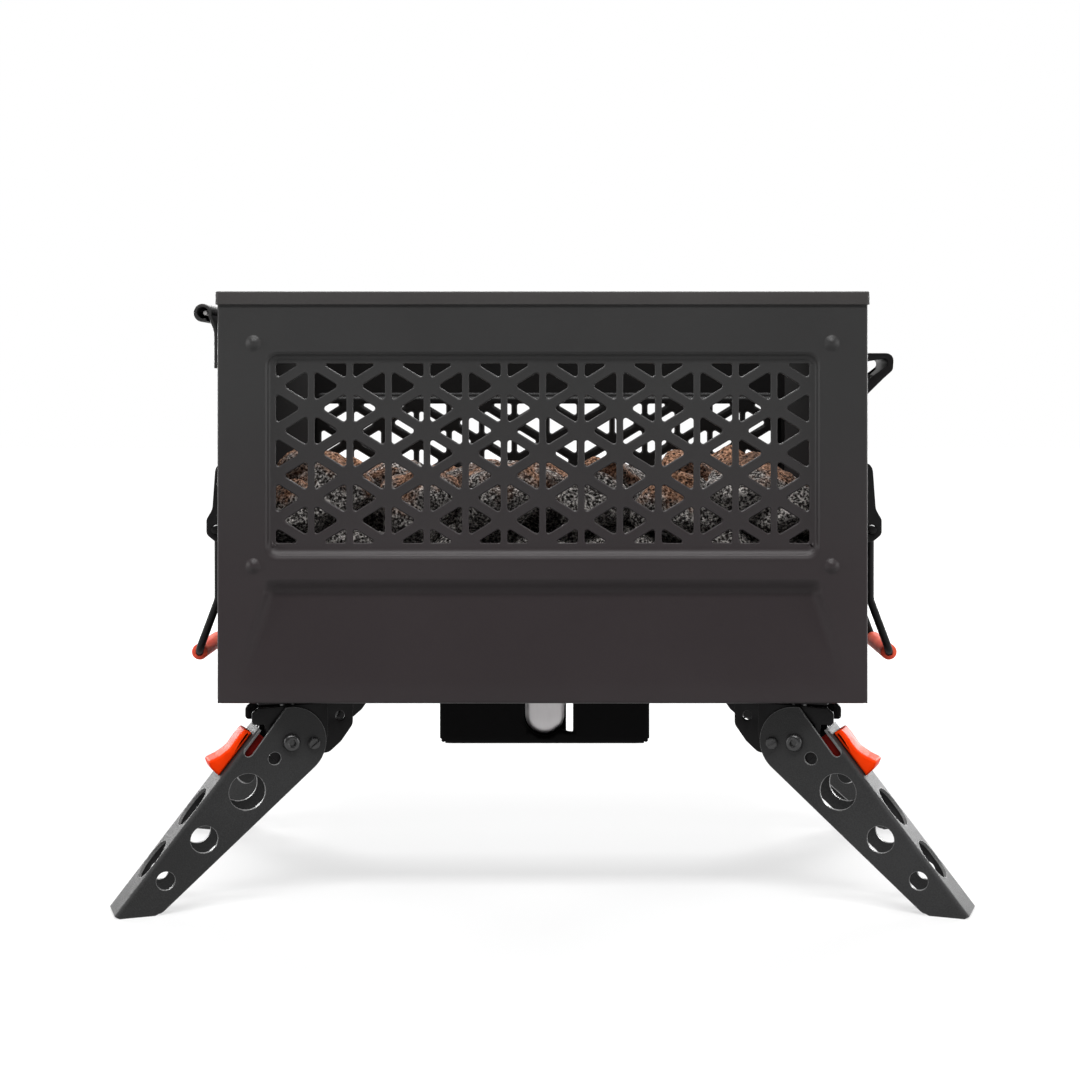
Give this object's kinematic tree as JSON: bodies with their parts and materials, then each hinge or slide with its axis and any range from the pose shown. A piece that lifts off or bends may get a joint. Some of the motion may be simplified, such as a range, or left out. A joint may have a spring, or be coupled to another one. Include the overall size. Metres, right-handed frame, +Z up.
{
  "type": "gas fire pit",
  "caption": "Portable gas fire pit: a rectangular sheet-steel can with pierced windows, lava rocks over a burner, folding legs with release buttons and bail handles.",
  "frame": {"origin": "on the ground, midway between the four feet, under the middle of the can", "axes": "+X along the can's long side, towards the lid catch; -Y towards the front window; +Z up"},
  "size_m": [0.489, 0.243, 0.346],
  "materials": {
    "can_paint": "matt near-black powder coat",
    "leg_paint": "fine sand-textured near-black powder coat",
    "black_steel": "satin black",
    "bright_steel": "plain bright steel",
    "brass": "machined",
    "orange_plastic": "semi-gloss orange-red",
    "orange_sleeve": "matt orange-red foam",
    "lava_rock": "rough porous lava"
  },
  "bodies": {
    "can": {"bottom_plate": "can_paint", "bracket_bolt_front_left": "black_steel", "bracket_bolt_front_right": "black_steel", "bracket_bolt_rear_left": "black_steel", "bracket_bolt_rear_right": "black_steel", "burner_nut": "bright_steel", "burner_shield": "black_steel", "burner_tube": "bright_steel", "front_panel": "can_paint", "gas_inlet": "brass", "handle_bracket_left": "black_steel", "handle_bracket_right": "black_steel", "hinge_leaf": "can_paint", "hinge_rod": "bright_steel", "latch_catch": "can_paint", "lava_rock_bed": "lava_rock", "left_wall": "can_paint", "leg_bracket_front_left": "black_steel", "leg_bracket_front_right": "black_steel", "leg_bracket_rear_left": "black_steel", "leg_bracket_rear_right": "black_steel", "leg_pivot_front_left": "black_steel", "leg_pivot_front_right": "black_steel", "leg_pivot_rear_left": "black_steel", "leg_pivot_rear_right": "black_steel", "rear_panel": "can_paint", "right_wall": "can_paint", "rivet_front_left_lower": "can_paint", "rivet_front_left_upper": "can_paint", "rivet_front_right_lower": "can_paint", "rivet_front_right_upper": "can_paint", "rivet_rear_left_lower": "can_paint", "rivet_rear_left_upper": "can_paint", "rivet_rear_right_lower": "can_paint", "rivet_rear_right_upper": "can_paint", "rock_tray": "black_steel", "top_rim": "can_paint", "venturi_tube": "bright_steel"},
    "leg_front_left": {"leg_front_left": "leg_paint", "leg_pin_front_left": "black_steel", "leg_spring_front_left": "bright_steel"},
    "button_front_left": {"leg_button_front_left": "orange_plastic"},
    "leg_front_right": {"leg_front_right": "leg_paint", "leg_pin_front_right": "black_steel", "leg_spring_front_right": "bright_steel"},
    "button_front_right": {"leg_button_front_right": "orange_plastic"},
    "leg_rear_left": {"leg_rear_left": "leg_paint", "leg_pin_rear_left": "black_steel", "leg_spring_rear_left": "bright_steel"},
    "button_rear_left": {"leg_button_rear_left": "orange_plastic"},
    "leg_rear_right": {"leg_rear_right": "leg_paint", "leg_pin_rear_right": "black_steel", "leg_spring_rear_right": "bright_steel"},
    "button_rear_right": {"leg_button_rear_right": "orange_plastic"},
    "handle_left": {"handle_wire_left": "black_steel", "handle_sleeve_left": "orange_sleeve"},
    "handle_right": {"handle_wire_right": "black_steel", "handle_sleeve_right": "orange_sleeve"}
  },
  "joints": [
    {"name": "leg_front_left_fold", "type": "hinge", "parent": "can", "child": "leg_front_left", "pos_m": [-0.147, -0.075, 0.091], "axis": [0.342, -0.9397, 0], "range_deg": [0, 132]},
    {"name": "button_front_left_push", "type": "slide", "parent": "leg_front_left", "child": "button_front_left", "axis": [-0.5888, -0.2143, -0.7793], "range_m": [0, 0.006], "stiffness_N_per_m": 700, "springref_m": -0.004, "deforming": ["leg_spring_front_left"]},
    {"name": "leg_front_right_fold", "type": "hinge", "parent": "can", "child": "leg_front_right", "pos_m": [0.147, -0.075, 0.091], "axis": [0.342, 0.9397, 0], "range_deg": [0, 132]},
    {"name": "button_front_right_push", "type": "slide", "parent": "leg_front_right", "child": "button_front_right", "axis": [0.5888, -0.2143, -0.7793], "range_m": [0, 0.006], "stiffness_N_per_m": 700, "springref_m": -0.004, "deforming": ["leg_spring_front_right"]},
    {"name": "leg_rear_left_fold", "type": "hinge", "parent": "can", "child": "leg_rear_left", "pos_m": [-0.147, 0.075, 0.091], "axis": [-0.342, -0.9397, 0], "range_deg": [0, 132]},
    {"name": "button_rear_left_push", "type": "slide", "parent": "leg_rear_left", "child": "button_rear_left", "axis": [-0.5888, 0.2143, -0.7793], "range_m": [0, 0.006], "stiffness_N_per_m": 700, "springref_m": -0.004, "deforming": ["leg_spring_rear_left"]},
    {"name": "leg_rear_right_fold", "type": "hinge", "parent": "can", "child": "leg_rear_right", "pos_m": [0.147, 0.075, 0.091], "axis": [-0.342, 0.9397, 0], "range_deg": [0, 132]},
    {"name": "button_rear_right_push", "type": "slide", "parent": "leg_rear_right", "child": "button_rear_right", "axis": [0.5888, 0.2143, -0.7793], "range_m": [0, 0.006], "stiffness_N_per_m": 700, "springref_m": -0.004, "deforming": ["leg_spring_rear_right"]},
    {"name": "handle_left_swing", "type": "hinge", "parent": "can", "child": "handle_left", "pos_m": [-0.1943, 0, 0.208], "axis": [0, 1, 0], "range_deg": [0, 150]},
    {"name": "handle_right_swing", "type": "hinge", "parent": "can", "child": "handle_right", "pos_m": [0.1943, 0, 0.208], "axis": [0, -1, 0], "range_deg": [0, 150]}
  ]
}
